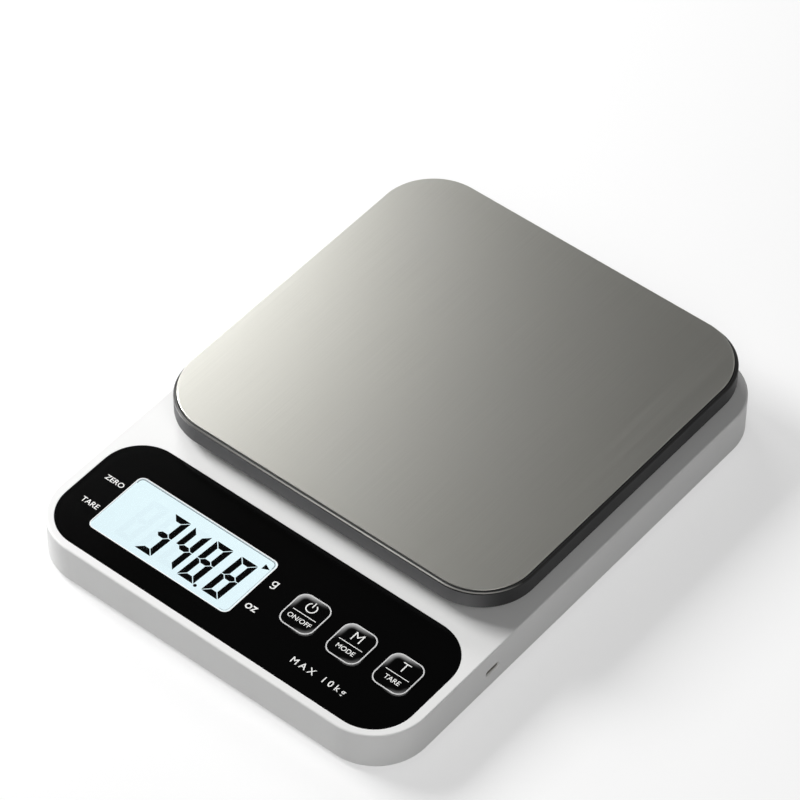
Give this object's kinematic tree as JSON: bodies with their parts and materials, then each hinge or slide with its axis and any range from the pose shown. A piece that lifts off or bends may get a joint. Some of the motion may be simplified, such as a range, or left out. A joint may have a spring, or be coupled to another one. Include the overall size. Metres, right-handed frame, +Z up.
{
  "type": "kitchen scale",
  "caption": "Flat kitchen scale with a steel-topped square platform on a load cell, and a black front panel with a digital display and push keys.",
  "frame": {"origin": "on the table under the middle of the casing's plan", "axes": "+X to the right of a user who faces the panel, +Y to the back, +Z up"},
  "size_m": [0.18, 0.238, 0.0336],
  "materials": {
    "white_abs": "satin moulded ABS",
    "cover_abs": "fine spark-textured moulded ABS",
    "black_panel": "gloss back-printed sheet",
    "clear_acrylic": "polished clear acrylic",
    "pale_foam": "closed-cell foam",
    "display_glass": "backlit display glass",
    "tinned_steel": "tinned",
    "light_guide": "diffusing acrylic",
    "board_laminate": "green solder mask on glass laminate",
    "chip_epoxy": "moulded epoxy",
    "can_aluminium": "drawn can",
    "nylon_natural": "moulded nylon",
    "switch_plastic": "moulded",
    "black_key": "gloss moulded",
    "socket_shell": "stamped and plated",
    "socket_core": "moulded",
    "battery_foil": "laminated foil pouch",
    "foam_tape": "double-sided foam tape",
    "beam_aluminium": "milled",
    "gauge_silicone": "cured silicone",
    "zinc_steel": "zinc plated",
    "dark_tray": "satin moulded ABS",
    "adhesive_film": "transfer adhesive",
    "brushed_stainless": "brushed sheet",
    "grey_rubber": "moulded rubber",
    "lead_sleeve": "extruded sleeve"
  },
  "bodies": {
    "base": {"upper_housing": "white_abs", "bottom_cover": "cover_abs", "rubber_feet": "grey_rubber", "control_panel": "black_panel", "display_window": "clear_acrylic", "lcd_gasket": "pale_foam", "lcd_glass": "display_glass", "lcd_pins": "tinned_steel", "backlight_guide": "light_guide", "backlight_leds": "nylon_natural", "main_board": "board_laminate", "controller_chip": "chip_epoxy", "converter_chip": "chip_epoxy", "board_capacitors": "can_aluminium", "lead_socket": "nylon_natural", "switch_bodies": "switch_plastic", "charge_board": "board_laminate", "charge_socket": "socket_shell", "socket_tongue": "socket_core", "charger_chip": "chip_epoxy", "battery_tape": "foam_tape", "battery_cell": "battery_foil", "load_cell": "beam_aluminium", "gauge_coats": "gauge_silicone", "cell_bolts": "zinc_steel", "housing_screws": "zinc_steel", "board_screws": "zinc_steel", "charge_screws": "zinc_steel", "cell_leads": "lead_sleeve", "battery_leads": "lead_sleeve", "power_leads": "lead_sleeve"},
    "platform": {"platform_tray": "dark_tray", "steel_plate": "brushed_stainless", "plate_adhesive": "adhesive_film", "platform_spacer": "beam_aluminium", "platform_bolts": "zinc_steel"},
    "power_key": {"power_button": "black_key", "power_plunger": "switch_plastic"},
    "mode_key": {"mode_button": "black_key", "mode_plunger": "switch_plastic"},
    "tare_key": {"tare_button": "black_key", "tare_plunger": "switch_plastic"}
  },
  "joints": [
    {"name": "platform_press", "type": "slide", "parent": "base", "child": "platform", "axis": [0, 0, 1], "range_m": [-0.0006, 0], "stiffness_N_per_m": 165000, "springref_m": 0.00002, "deforming": ["load_cell", "gauge_coats"]},
    {"name": "power_press", "type": "slide", "parent": "base", "child": "power_key", "axis": [0, 0, 1], "range_m": [-0.0005, 0], "stiffness_N_per_m": 800, "springref_m": 0.0003},
    {"name": "mode_press", "type": "slide", "parent": "base", "child": "mode_key", "axis": [0, 0, 1], "range_m": [-0.0005, 0], "stiffness_N_per_m": 800, "springref_m": 0.0003},
    {"name": "tare_press", "type": "slide", "parent": "base", "child": "tare_key", "axis": [0, 0, 1], "range_m": [-0.0005, 0], "stiffness_N_per_m": 800, "springref_m": 0.0003}
  ]
}
